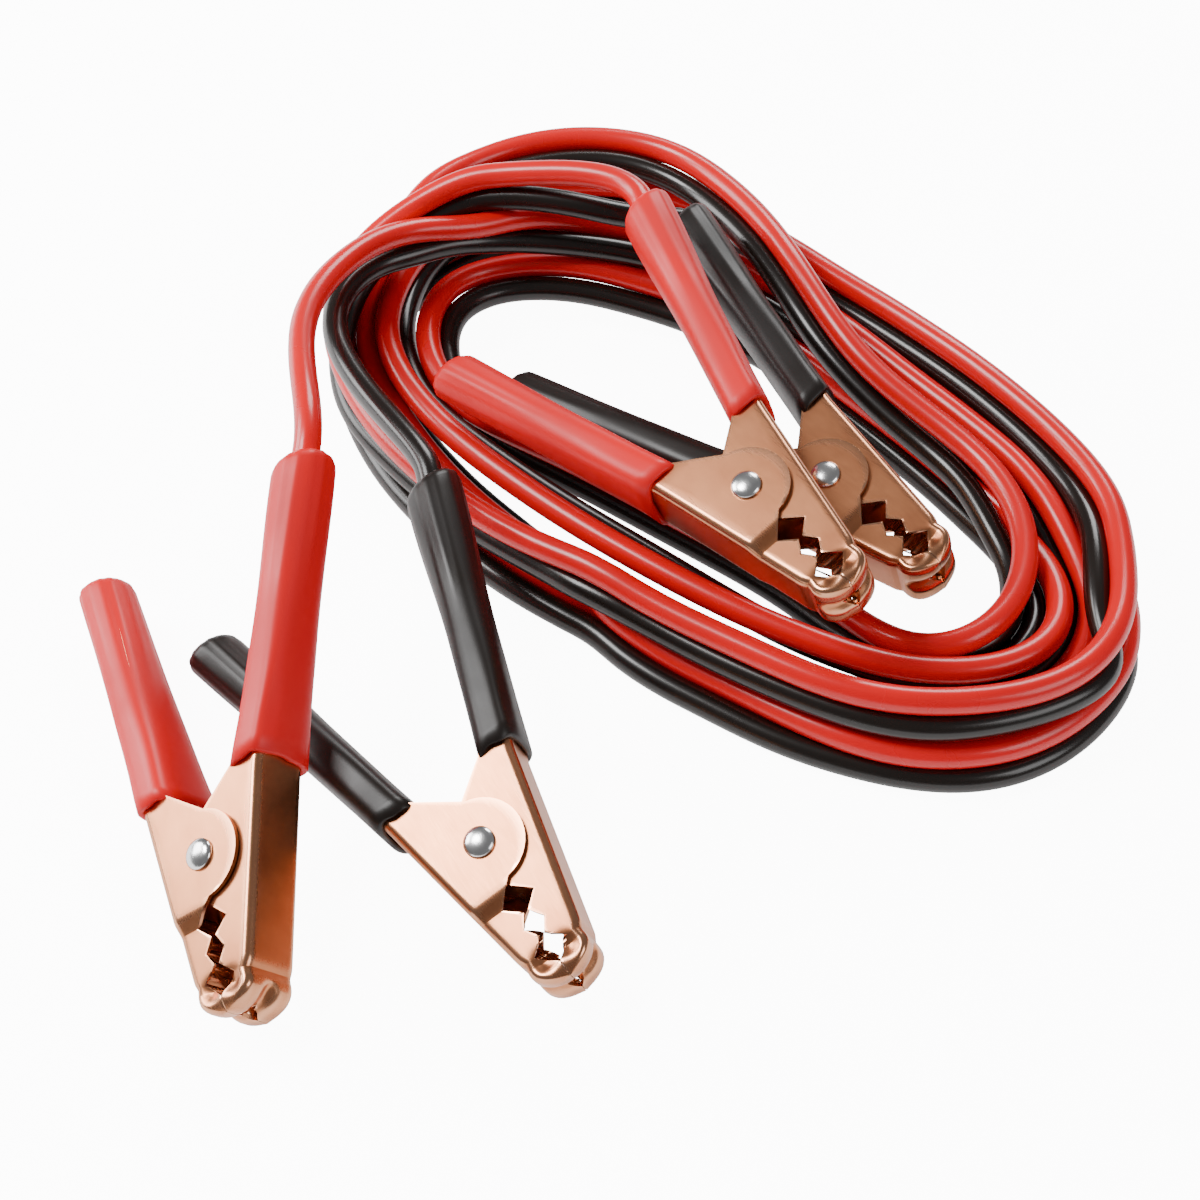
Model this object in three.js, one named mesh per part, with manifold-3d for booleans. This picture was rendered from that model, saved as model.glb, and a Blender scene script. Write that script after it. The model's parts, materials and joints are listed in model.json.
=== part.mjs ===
// A set of jumper cables: four stamped clamps on a twin red and black cable wound in an oval hank.
// Millimetres, +Z up. It lies on a level floor at z = 0, with the hank behind and two clamps in front.
import * as THREE from "three";
import { mergeVertices } from "three/addons/utils/BufferGeometryUtils.js";
import Module from "manifold-3d";

const wasm = await Module();
wasm.setup();

// Driving dimensions of a clamp. Its own frame has the pivot axis on Z, the nose along +X
// and the cable-side jaw on the +Y side.
const SHEET = 1.2; // thickness of the stamped steel
const JAW_WIDTH = 17.6; // across the side plates
const FOLD_RADIUS = 2.4; // outer radius where a side plate turns into the web
const NOSE_REACH = 42; // pivot to the front of the nose
const NOSE_HALF_DEPTH = 8.8; // parting line to the web, at the root of the nose
const NOSE_ROUND = 4.5; // how far back the nose is rounded
const NOSE_BEVEL = [1.4, 4.1]; // along the jaw and down from the web, the two steps of that rounding
const NOSE_HOLE = 4.2; // side of the square hole between the noses
const RUNNING_GAP = 0.35; // between pieces that touch or turn on each other
const PARTING_GAP = 0.5; // between the two closed jaws
const PARTING_SHIFT = 0.4; // how far the parting line lies from the pivot, towards the free jaw

const TOOTH_START = 13.5; // pivot to the first notch
const TOOTH_PITCH = 7.6; // from notch to notch
const TOOTH_COUNT = 3;
const NOTCH_HALF = 4.6; // half a notch, along the parting line
const NOTCH_DEPTHS = [4.8, 3.0, 4.8]; // the middle notch is the shallow one
const TIP_DROP = 0.6; // how far the inner teeth stop short of the parting line
const CUT = 2; // how far a cutting outline runs past what it cuts

const HEEL_X = 18; // pivot back to where the grips start
const CABLE_HEEL_Y = 21; // pivot out to the web of the cable-side jaw there
const FREE_HEEL_Y = 18; // the same for the free jaw
const HANDLE_REACH = 97; // pivot back to the end of a handle's channel
const CABLE_HANDLE_Y = 42.6; // middle of the cable-side handle at its end
const FREE_HANDLE_Y = 31; // the same for the free handle
const HANDLE_END = 10.6; // width and depth of a channel at its end
const HANDLE_ROOT_DEPTH = 8.6; // depth of a channel under the start of its grip
const EAR_RADIUS = 12; // of the free jaw's ears, round the pivot
const INNER_EAR_RADIUS = 10; // of the cable-side jaw's ears
const EAR_STEP = 2.5; // length over which the free jaw's plates step out to its ears

const GRIP_WALL = 1.7; // thickness of the soft sleeve
const GRIP_OVERHANG = 4; // how far a grip runs past its channel
const GRIP_START = 19.5; // pivot back to the rim of a grip
const INNER_ROUNDNESS = [0.35, 0.6]; // corner radius over half the section, at the rim and at the end
const OUTER_ROUNDNESS = [0.5, 0.92];

const RIVET_RADIUS = 3;
const RIVET_HEAD_RADIUS = 4.2;
const RIVET_HEAD_HEIGHT = 1.9;

const SPRING_WIRE = 1.5;
const SPRING_RADIUS = 5.2; // middle of the wire
const SPRING_TURNS = 3;
const SPRING_PITCH = 1.9;
const SPRING_LEG = 15;

// Driving dimensions of the cable.
const CABLE = 7.6; // outside diameter of one conductor
const CORD_GAP = 0.3; // where a cord meets another piece
const CABLE_SIDES = 8;
const STEP_DIAMETERS = 2; // length of a tube's steps, in diameters
const HANK_HEIGHT = 21;
const BORE_ENTRY = 2.5; // how far a cable's end stands in the bore of its grip

// Where each clamp lies: its pivot, its heading, how far the nose is down and how far it is rolled.
// A clamp with no height of its own lies on the floor. Each route runs from the grip to the hank.
const CLAMPS = [
  {
    name: "front_red",
    colour: "red",
    at: [-94, -102.5, null],
    yaw: -78.8,
    pitch: 8.2,
    roll: 38,
    route: [
      [-79, 13, 62], [-80, 19, 62], [-82, 33, 60], [-84, 48, 57], [-84, 63, 53], [-81, 77, 50],
      [-75, 91, 47], [-68, 103, 43], [-57, 112, 40], [-43, 116, 36.5], [-29, 122, 33.5],
      [-15, 127, 29], [-10, 128, 26.5],
    ],
  },
  {
    name: "front_black",
    colour: "black",
    at: [-27.5, -98.5, null],
    yaw: -57.6,
    pitch: 4.6,
    roll: 21.3,
    route: [
      [-53, 20, 41], [-55, 26, 41], [-63, 38, 39], [-70, 52, 38], [-76, 65, 36], [-78, 80, 35],
      [-75.5, 94, 33.5], [-67, 104, 32], [-55, 111, 29], [-46, 115, 26],
    ],
  },
  {
    name: "back_red",
    colour: "red",
    at: [41.8, -4.6, 45.5],
    yaw: -52.5,
    pitch: -0.7,
    roll: 19,
    route: [
      [11.3, 106.8, 58.8], [7, 112.5, 58.5], [-1, 117.5, 57], [-12, 121.5, 54.8], [-24, 124.5, 51.3],
      [-39, 127, 47.5],
      [-52.5, 124, 43], [-66, 118.5, 37.5], [-76.5, 109.5, 32], [-80, 100, 26.5],
    ],
  },
  {
    name: "back_black",
    colour: "black",
    at: [65, 15.8, 27.5],
    yaw: -46.8,
    pitch: -1.5,
    roll: 17,
    route: [
      [19, 117, 40], [13, 117.5, 40.5], [-1, 118, 43], [-15, 122, 43.5], [-30, 125, 42],
      [-45, 125, 37.5], [-57, 121.5, 32], [-64, 118, 27],
    ],
  },
];

// The outline of the hank on the floor, outside and inside.
const HANK_OUTER = [
  [151, -22], [143, -42], [126, -59], [99, -70], [76, -68], [56, -61], [30, -48], [8, -33],
  [-14, -13], [-40, 10], [-57, 27], [-72, 50], [-82, 76], [-83, 100], [-76, 124], [-61, 143],
  [-37, 161], [-14, 169], [12, 168], [32, 158], [54, 139], [84, 104], [113, 72], [132, 50], [147, 18],
];
const HANK_INNER = [
  [108, -8], [98, -24], [82, -29], [62, -24], [30, -4], [0, 16], [-26, 38], [-40, 58],
  [-46, 84], [-42, 104], [-28, 113], [0, 114], [30, 101], [60, 72], [86, 50], [104, 28], [110, 10],
];

const FINISH = {
  copper: { color: 0xcd8764, roughness: 0.35, metalness: 1 },
  steel: { color: 0xc9cacc, roughness: 0.2, metalness: 1 },
  spring: { color: 0x8f8c88, roughness: 0.4, metalness: 1 },
  redGrip: { color: 0xe4202a, roughness: 0.4, metalness: 0 },
  blackGrip: { color: 0x2a2421, roughness: 0.45, metalness: 0 },
  redCable: { color: 0xe8222b, roughness: 0.25, metalness: 0 },
  blackCable: { color: 0x231d1a, roughness: 0.25, metalness: 0 },
};

const half = (value) => value / 2;

function toSolid(geometry) {
  const bare = geometry.index ? geometry.toNonIndexed() : geometry.clone();
  for (const name of Object.keys(bare.attributes)) {
    if (name !== "position") bare.deleteAttribute(name);
  }
  const merged = mergeVertices(bare, 1e-4);
  return new wasm.Manifold(
    new wasm.Mesh({
      numProp: 3,
      vertProperties: merged.attributes.position.array,
      triVerts: new Uint32Array(merged.index.array),
    }),
  );
}

function toGeometry(solid) {
  const mesh = solid.getMesh();
  const geometry = new THREE.BufferGeometry();
  geometry.setAttribute("position", new THREE.BufferAttribute(mesh.vertProperties, 3));
  geometry.setIndex(new THREE.BufferAttribute(mesh.triVerts, 1));
  const flat = geometry.toNonIndexed();
  flat.computeVertexNormals();
  return flat;
}

// A closed solid through rings of points, with a flat cap at each end.
function loft(rings) {
  const count = rings[0].length;
  const points = rings.flat();
  const faces = [];
  for (let ring = 0; ring + 1 < rings.length; ring++) {
    for (let i = 0; i < count; i++) {
      const a = ring * count + i;
      const b = ring * count + ((i + 1) % count);
      faces.push(a, b, b + count, a, b + count, a + count);
    }
  }
  const last = (rings.length - 1) * count;
  for (let i = 1; i + 1 < count; i++) {
    faces.push(0, i + 1, i, last, last + i, last + i + 1);
  }
  const geometry = new THREE.BufferGeometry().setFromPoints(points);
  geometry.setIndex(faces);
  const solid = toSolid(geometry);
  if (solid.volume() > 0) return solid;
  for (let i = 0; i < faces.length; i += 3) {
    [faces[i], faces[i + 1]] = [faces[i + 1], faces[i]];
  }
  geometry.setIndex(faces);
  return toSolid(geometry);
}

// A plate outline, given as [x, y] corners, right through the clamp.
function throughPlate(corners) {
  const shape = new THREE.Shape(corners.map(([x, y]) => new THREE.Vector2(x, y)));
  const depth = JAW_WIDTH * 2;
  const geometry = new THREE.ExtrudeGeometry(shape, { depth, bevelEnabled: false });
  geometry.translate(0, 0, -half(depth));
  return toSolid(geometry);
}

function arc(radius, fromDegrees, toDegrees, steps) {
  const corners = [];
  for (let i = 0; i <= steps; i++) {
    const angle = THREE.MathUtils.degToRad(fromDegrees + ((toDegrees - fromDegrees) * i) / steps);
    corners.push([radius * Math.cos(angle), radius * Math.sin(angle)]);
  }
  return corners;
}

// One section of a channel's envelope at x: side walls from y = base up to a web at y = web.
function channelRing(x, base, web, halfWidth, fold) {
  const ring = [new THREE.Vector3(x, base, -halfWidth)];
  const folds = 3;
  for (const side of [-1, 1]) {
    for (let i = 0; i <= folds; i++) {
      const turn = (half(Math.PI) * (side < 0 ? i : folds - i)) / folds;
      const out = fold * (1 - Math.cos(turn));
      const up = fold * (1 - Math.sin(turn));
      ring.push(new THREE.Vector3(x, web - up, side * (halfWidth - out)));
    }
  }
  ring.push(new THREE.Vector3(x, base, halfWidth));
  return ring;
}

// The sizes that differ between the two jaws. Both are drawn with the web on the +Y side.
const CABLE_JAW = {
  heelY: CABLE_HEEL_Y,
  handleY: CABLE_HANDLE_Y,
  rearHalf: half(JAW_WIDTH),
  parting: -PARTING_SHIFT + half(PARTING_GAP),
};
const FREE_JAW = {
  heelY: FREE_HEEL_Y,
  handleY: FREE_HANDLE_Y,
  rearHalf: half(JAW_WIDTH) + SHEET + RUNNING_GAP,
  parting: PARTING_SHIFT + half(PARTING_GAP),
};

function handleAxis(jaw, x) {
  const rootMiddle = jaw.heelY - half(HANDLE_ROOT_DEPTH);
  const share = (x - HEEL_X) / (HANDLE_REACH - HEEL_X);
  return {
    middle: rootMiddle + (jaw.handleY - rootMiddle) * share,
    depth: HANDLE_ROOT_DEPTH + (HANDLE_END - HANDLE_ROOT_DEPTH) * share,
    halfWidth: jaw.rearHalf + (half(HANDLE_END) - jaw.rearHalf) * share,
  };
}

// The envelope of a jaw, moved in by inset, from the nose back to the end of the handle.
function jawEnvelope(jaw, inset) {
  const base = -EAR_RADIUS - CUT;
  const fold = FOLD_RADIUS - inset;
  const front = half(JAW_WIDTH) - inset;
  const rear = jaw.rearHalf - inset;
  const rings = [];
  const add = (x, web, halfWidth) => rings.push(channelRing(x, base, web - inset, halfWidth, fold));
  const noseX = NOSE_REACH - inset;
  const [bevel, drop] = NOSE_BEVEL;
  add(noseX, NOSE_HALF_DEPTH - drop, front);
  add(noseX - bevel, NOSE_HALF_DEPTH - bevel, front);
  add(NOSE_REACH - NOSE_ROUND, NOSE_HALF_DEPTH, front);
  const slope = (jaw.heelY - NOSE_HALF_DEPTH) / (HEEL_X + NOSE_REACH - NOSE_ROUND);
  const webAt = (x) => NOSE_HALF_DEPTH + slope * (NOSE_REACH - NOSE_ROUND - x);
  const stepStart = TOOTH_START;
  const stepEnd = TOOTH_START + EAR_STEP;
  add(stepEnd, webAt(stepEnd), front);
  add(stepStart, webAt(stepStart), rear);
  add(-HEEL_X, jaw.heelY, rear);
  const tail = inset > 0 ? HANDLE_REACH + CUT : HANDLE_REACH;
  const end = handleAxis(jaw, tail);
  add(-tail, end.middle + half(end.depth), end.halfWidth - inset);
  return loft(rings);
}

// The notched edge of a jaw from the nose back to the ear, y up from the parting line.
function toothEdge(parting) {
  const edge = [[NOSE_REACH + CUT, parting]];
  for (let i = TOOTH_COUNT - 1; i >= 0; i--) {
    const middle = TOOTH_START + NOTCH_HALF + i * TOOTH_PITCH;
    const front = Math.min(middle + NOTCH_HALF, middle + TOOTH_PITCH);
    const isLast = i === TOOTH_COUNT - 1;
    edge.push([isLast ? front : middle + half(TOOTH_PITCH), isLast ? parting : parting + TIP_DROP]);
    edge.push([middle, parting + NOTCH_DEPTHS[i]]);
  }
  edge.push([TOOTH_START, parting]);
  return edge;
}

function handleEdge(jaw) {
  const root = handleAxis(jaw, HEEL_X + 4);
  const end = handleAxis(jaw, HANDLE_REACH);
  return [
    [-HEEL_X - 4, root.middle - half(root.depth)],
    [-HANDLE_REACH - 6, end.middle - half(end.depth)],
    [-HANDLE_REACH - 6, jaw.handleY + 30],
    [NOSE_REACH + 2, jaw.handleY + 30],
  ];
}

function noseHole() {
  const hole = new THREE.BoxGeometry(SHEET * 4, NOSE_HOLE, NOSE_HOLE);
  hole.rotateX(Math.PI / 4);
  hole.translate(NOSE_REACH, 0, 0);
  return toSolid(hole);
}

function pivotHole() {
  const hole = new THREE.CylinderGeometry(
    RIVET_RADIUS + RUNNING_GAP, RIVET_RADIUS + RUNNING_GAP, JAW_WIDTH * 2, 20,
  );
  hole.rotateX(half(Math.PI));
  return toSolid(hole);
}

// The handle's share of a jaw is rounded off to fit inside its grip.
function jawShell(jaw, plate) {
  const shell = jawEnvelope(jaw, 0).subtract(jawEnvelope(jaw, SHEET)).intersect(throughPlate(plate));
  const behind = new THREE.BoxGeometry(HANDLE_REACH * 2, HANDLE_REACH * 3, JAW_WIDTH * 3);
  behind.translate(-HANDLE_REACH - GRIP_START, 0, 0);
  const tailBox = toSolid(behind);
  const sheath = gripLoft(jaw, GRIP_START - CUT, HANDLE_REACH, 0, INNER_ROUNDNESS);
  return shell.subtract(tailBox.subtract(sheath)).subtract(noseHole()).subtract(pivotHole());
}

// The cable-side jaw: round ears inside those of the free jaw.
function cableJaw() {
  const ear = arc(INNER_EAR_RADIUS, -25, -175, 10);
  const plate = [...toothEdge(CABLE_JAW.parting), ...ear, ...handleEdge(CABLE_JAW)];
  return jawShell(CABLE_JAW, plate);
}

// The free jaw, drawn with its web up and turned over to the -Y side.
function freeJaw() {
  const ear = arc(EAR_RADIUS, -4, -160, 12);
  const plate = [...toothEdge(FREE_JAW.parting), ...ear, ...handleEdge(FREE_JAW)];
  return jawShell(FREE_JAW, plate).rotate([180, 0, 0]);
}

// A rounded section of a grip round its handle, at x.
function gripRing(jaw, x, wall, roundness) {
  const axis = handleAxis(jaw, x);
  const deep = half(axis.depth) + wall;
  const wide = axis.halfWidth + wall;
  const share = (x - HEEL_X) / (HANDLE_REACH - HEEL_X);
  const round = Math.min(deep, wide) * (roundness[0] + (roundness[1] - roundness[0]) * share);
  const ring = [];
  const steps = 3;
  for (let corner = 0; corner < 4; corner++) {
    const signZ = corner === 0 || corner === 3 ? 1 : -1;
    const signY = corner < 2 ? 1 : -1;
    for (let i = 0; i <= steps; i++) {
      const turn = half(Math.PI) * (corner + i / steps);
      ring.push(
        new THREE.Vector3(
          -x,
          axis.middle + signY * (deep - round) + round * Math.sin(turn),
          signZ * (wide - round) + round * Math.cos(turn),
        ),
      );
    }
  }
  return ring;
}

function gripLoft(jaw, from, to, wall, roundness) {
  const rings = [];
  const steps = 4;
  for (let i = 0; i <= steps; i++) {
    rings.push(gripRing(jaw, from + ((to - from) * i) / steps, wall, roundness));
  }
  return loft(rings);
}

// A soft sleeve on a handle. The cable-side one has a hole in its end for the cable.
function grip(jaw, takesCable) {
  const end = HANDLE_REACH + GRIP_OVERHANG;
  const outer = gripLoft(jaw, GRIP_START, end, GRIP_WALL + RUNNING_GAP, OUTER_ROUNDNESS);
  const hollowEnd = HANDLE_REACH + RUNNING_GAP;
  const inner = gripLoft(jaw, GRIP_START - CUT, hollowEnd, RUNNING_GAP, INNER_ROUNDNESS);
  let sleeve = outer.subtract(inner);
  if (takesCable) {
    const bore = half(CABLE) + CORD_GAP;
    const hole = new THREE.CylinderGeometry(bore, bore, GRIP_OVERHANG * 4, 16);
    const exit = handleAxis(jaw, end).middle;
    const rise = exit - handleAxis(jaw, end - 1).middle;
    hole.rotateZ(half(Math.PI) - Math.atan(rise));
    hole.translate(-end, exit, 0);
    sleeve = sleeve.subtract(toSolid(hole));
  }
  return sleeve;
}

function rivet() {
  const plates = half(JAW_WIDTH) + SHEET + RUNNING_GAP;
  const seat = plates + half(RUNNING_GAP);
  const dome = (from) =>
    [0, 0.5, 0.8, 1].map((share) => {
      const radius = from < 0 ? share * RIVET_HEAD_RADIUS : (1 - share) * RIVET_HEAD_RADIUS;
      const height = RIVET_HEAD_HEIGHT * Math.sqrt(1 - 0.85 * (radius / RIVET_HEAD_RADIUS) ** 2);
      return new THREE.Vector2(radius, Math.sign(from) * (seat + height));
    });
  const profile = [
    ...dome(-1),
    new THREE.Vector2(RIVET_HEAD_RADIUS, -seat),
    new THREE.Vector2(RIVET_RADIUS, -seat),
    new THREE.Vector2(RIVET_RADIUS, seat),
    new THREE.Vector2(RIVET_HEAD_RADIUS, seat),
    ...dome(1),
  ];
  const turned = new THREE.LatheGeometry(profile, 16);
  turned.rotateX(half(Math.PI));
  return toSolid(turned);
}

// A tube along a curve, with a flat cap at each end.
function tube(curve, diameter, sides, steps) {
  const section = new THREE.Shape(
    arc(half(diameter), 0, 360 - 360 / sides, sides - 1).map(([x, y]) => new THREE.Vector2(x, y)),
  );
  return toSolid(new THREE.ExtrudeGeometry(section, { steps, extrudePath: curve, bevelEnabled: false }));
}

// The torsion spring that closes the jaws: a coil round the rivet, with a leg to each web.
function spring() {
  const tilt = Math.atan2(3, 4);
  const perTurn = 10;
  const turnsPoints = Math.round(SPRING_TURNS * perTurn);
  const points = [];
  const spread = 2 * Math.PI * SPRING_TURNS + 2 * tilt;
  const at = (turn, height) =>
    new THREE.Vector3(SPRING_RADIUS * Math.cos(turn), SPRING_RADIUS * Math.sin(turn), height);
  const rise = SPRING_PITCH * SPRING_TURNS;
  const first = at(-tilt, half(-rise));
  const last = at(tilt, half(rise));
  const leg = (from, side, length) =>
    from.clone().add(new THREE.Vector3(-Math.sin(tilt), side * Math.cos(tilt), 0).multiplyScalar(length));
  points.push(leg(first, -1, SPRING_LEG - 2), leg(first, -1, half(SPRING_LEG)), leg(first, -1, 2));
  for (let i = 0; i <= turnsPoints; i++) {
    const share = i / turnsPoints;
    points.push(at(-tilt + spread * share, rise * (share - 0.5)));
  }
  points.push(leg(last, 1, 2), leg(last, 1, half(SPRING_LEG)), leg(last, 1, SPRING_LEG));
  const curve = new THREE.CatmullRomCurve3(points, false, "centripetal");
  return tube(curve, SPRING_WIRE, 6, 48);
}

// One layer of the hank, from the floor up.
function hankLayer(bottom, height) {
  const plug = (corners, below, tall) => {
    const loop = new THREE.CatmullRomCurve3(
      corners.map(([x, y]) => new THREE.Vector3(x, y, 0)), true, "centripetal",
    );
    const points = loop.getPoints(corners.length * 2).slice(0, -1);
    const outline = new THREE.Shape(points.map((p) => new THREE.Vector2(p.x, p.y)));
    const geometry = new THREE.ExtrudeGeometry(outline, { depth: tall, bevelEnabled: false });
    geometry.translate(0, 0, below);
    return toSolid(geometry);
  };
  return toGeometry(
    plug(HANK_OUTER, bottom, height).subtract(plug(HANK_INNER, bottom - height, height * 3)),
  );
}

function paint(name) {
  return new THREE.MeshStandardMaterial(FINISH[name]);
}

const pieces = {
  cable_jaw: [toGeometry(cableJaw()), "copper"],
  free_jaw: [toGeometry(freeJaw()), "copper"],
  rivet: [toGeometry(rivet()), "steel"],
  spring: [toGeometry(spring()), "spring"],
  cable_grip: [toGeometry(grip(CABLE_JAW, true)), "grip"],
  free_grip: [toGeometry(grip(FREE_JAW, false).rotate([180, 0, 0])), "grip"],
};

function clamp({ name, colour, at, yaw, pitch, roll }) {
  const group = new THREE.Group();
  for (const [piece, [geometry, finish]] of Object.entries(pieces)) {
    const mesh = new THREE.Mesh(geometry, paint(finish === "grip" ? `${colour}Grip` : finish));
    mesh.name = `${name}_${piece}`;
    group.add(mesh);
  }
  const radians = THREE.MathUtils.degToRad;
  group.rotation.set(radians(roll), radians(pitch), radians(yaw), "ZYX");
  group.position.set(at[0], at[1], at[2] ?? 0);
  group.updateMatrixWorld(true);
  if (at[2] === null) {
    group.position.z = -new THREE.Box3().setFromObject(group, true).min.z;
    group.updateMatrixWorld(true);
  }
  return group;
}

// The end of a cable: out of the bore of its grip, then along its route to the top of the hank.
function tail(group, { name, colour, route }) {
  const end = HANDLE_REACH + GRIP_OVERHANG;
  const axisAt = (x) => group.localToWorld(new THREE.Vector3(-x, handleAxis(CABLE_JAW, x).middle, 0));
  const mouth = [axisAt(end - BORE_ENTRY), axisAt(end + CABLE)];
  const curve = new THREE.CatmullRomCurve3(
    [...mouth, ...route.map((corner) => new THREE.Vector3(...corner))], false, "centripetal",
  );
  const steps = Math.round(curve.getLength() / (CABLE * STEP_DIAMETERS));
  const solid = tube(curve, CABLE, CABLE_SIDES, steps);
  const mesh = new THREE.Mesh(toGeometry(solid), paint(`${colour}Cable`));
  mesh.name = `${name}_tail`;
  return mesh;
}

const set = new THREE.Group();
const clamps = new THREE.Group();
set.add(clamps);
for (const place of CLAMPS) {
  const group = clamp(place);
  clamps.add(group);
  set.add(tail(group, place));
}

const layerHeight = half(HANK_HEIGHT - CORD_GAP);
const blackHank = new THREE.Mesh(hankLayer(0, layerHeight), paint("blackCable"));
blackHank.name = "black_cable_hank";
const redHank = new THREE.Mesh(hankLayer(layerHeight + CORD_GAP, layerHeight), paint("redCable"));
redHank.name = "red_cable_hank";
set.add(blackHank, redHank);

// The origin is on the floor, under the middle of the four clamps.
const bounds = new THREE.Box3().setFromObject(clamps, true);
const middle = bounds.getCenter(new THREE.Vector3());
set.position.set(-middle.x, -middle.y, 0);

export default set;
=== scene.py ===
"""A set of jumper cables: the looks of its two conductors, four clamps and their grips."""

import json
import math

import bmesh
import bpy
import numpy as np
from mathutils import Euler, Matrix, Vector


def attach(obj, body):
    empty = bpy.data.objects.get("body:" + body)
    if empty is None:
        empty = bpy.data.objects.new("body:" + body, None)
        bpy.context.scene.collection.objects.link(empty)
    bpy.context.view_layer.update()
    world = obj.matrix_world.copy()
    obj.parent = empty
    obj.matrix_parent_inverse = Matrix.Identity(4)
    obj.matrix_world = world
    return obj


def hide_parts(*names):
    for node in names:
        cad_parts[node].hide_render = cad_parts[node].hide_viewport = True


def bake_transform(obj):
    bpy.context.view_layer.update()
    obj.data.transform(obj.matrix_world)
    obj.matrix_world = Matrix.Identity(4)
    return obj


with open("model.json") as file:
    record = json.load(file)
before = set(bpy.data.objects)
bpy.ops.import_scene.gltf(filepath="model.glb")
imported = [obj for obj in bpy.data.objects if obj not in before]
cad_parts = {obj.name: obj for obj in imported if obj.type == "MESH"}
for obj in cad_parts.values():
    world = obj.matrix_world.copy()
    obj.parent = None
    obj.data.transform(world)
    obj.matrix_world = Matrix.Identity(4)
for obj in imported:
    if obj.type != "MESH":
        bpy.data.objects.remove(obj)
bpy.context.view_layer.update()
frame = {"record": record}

MM = 0.001

# Sizes of a clamp in millimetres. Its own frame has the pivot on Z, the nose along +X and the
# cable-side jaw on the +Y side.
SHEET = 1.2
JAW_HALF = 8.8
FOLD_RADIUS = 2.4
NOSE_REACH = 42
NOSE_HALF_DEPTH = 8.8
NOSE_ROUND = 6.5
RUNNING_GAP = 0.35
TOOTH_START = 13.5
TOOTH_PITCH = 7.6
NOTCH_HALF = 4.6
NOTCH_DEPTHS = (4.8, 3.0, 4.8)
TIP_DROP = 0.6
HEEL_X = 18
HANDLE_REACH = 97
HANDLE_END = 10.6
HANDLE_ROOT_DEPTH = 8.6
EAR_STEP = 5
GRIP_WALL = 1.7
GRIP_OVERHANG = 4
GRIP_START = 19.5
RIVET_RADIUS = 3
RIVET_HEAD_RADIUS = 4.2
RIVET_HEAD_HEIGHT = 1.9
RIVET_RIM = 0.3
SPRING_WIRE = 1.5
SPRING_RADIUS = 5.2
SPRING_TURNS = 3
SPRING_PITCH = 1.9
SPRING_LEG = 15
CABLE = 7.6
CABLE_BORE = CABLE / 2 + 0.3

# The looks of the nose, the sleeves and their mouths, in millimetres.
NOSE_LENGTH = 7
VALLEY_DEPTH, VALLEY_HALF = 2.2, 2.0
PINCH_DEPTH = 1.5
NECK_DEPTH = 0.6
NOSE_HOLE = 3.4
NOSE_TAPER, NOSE_TAPER_LENGTH = 1.6, 3.5
RIDGE_HEIGHT, RIDGE_COUNT = 0.16, 14
CREASE_DEPTH = 0.55
END_ROUND = 3.4
WALL_TAPER = 0.15
RIM_WAVE, RIM_RIPPLE = 0.55, 0.35

CABLE_SIDE = {
    "name": "cable", "heel": 21, "handle": 42.6, "rear": JAW_HALF, "parting": -0.15, "ear": 10,
    "side": 1, "flare": 1.3,
}
FREE_SIDE = {
    "name": "free", "heel": 18, "handle": 31, "rear": JAW_HALF + SHEET + RUNNING_GAP, "parting": 0.3,
    "ear": 12, "side": -1, "flare": 0.5,
}

# Where each clamp lies: roll, pitch and yaw in degrees. Its place is its pivot in the frame.
CLAMPS = {
    "front_red": ("red", 38, 8.2, -78.8),
    "front_black": ("black", 21.3, 4.6, -57.6),
    "back_red": ("red", 19, -0.7, -52.5),
    "back_black": ("black", 17, -1.5, -46.8),
}
BACK_RED_PIVOT = Vector((41.8, -4.6, 45.5))  # in the millimetres that the routes are written in

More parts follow.
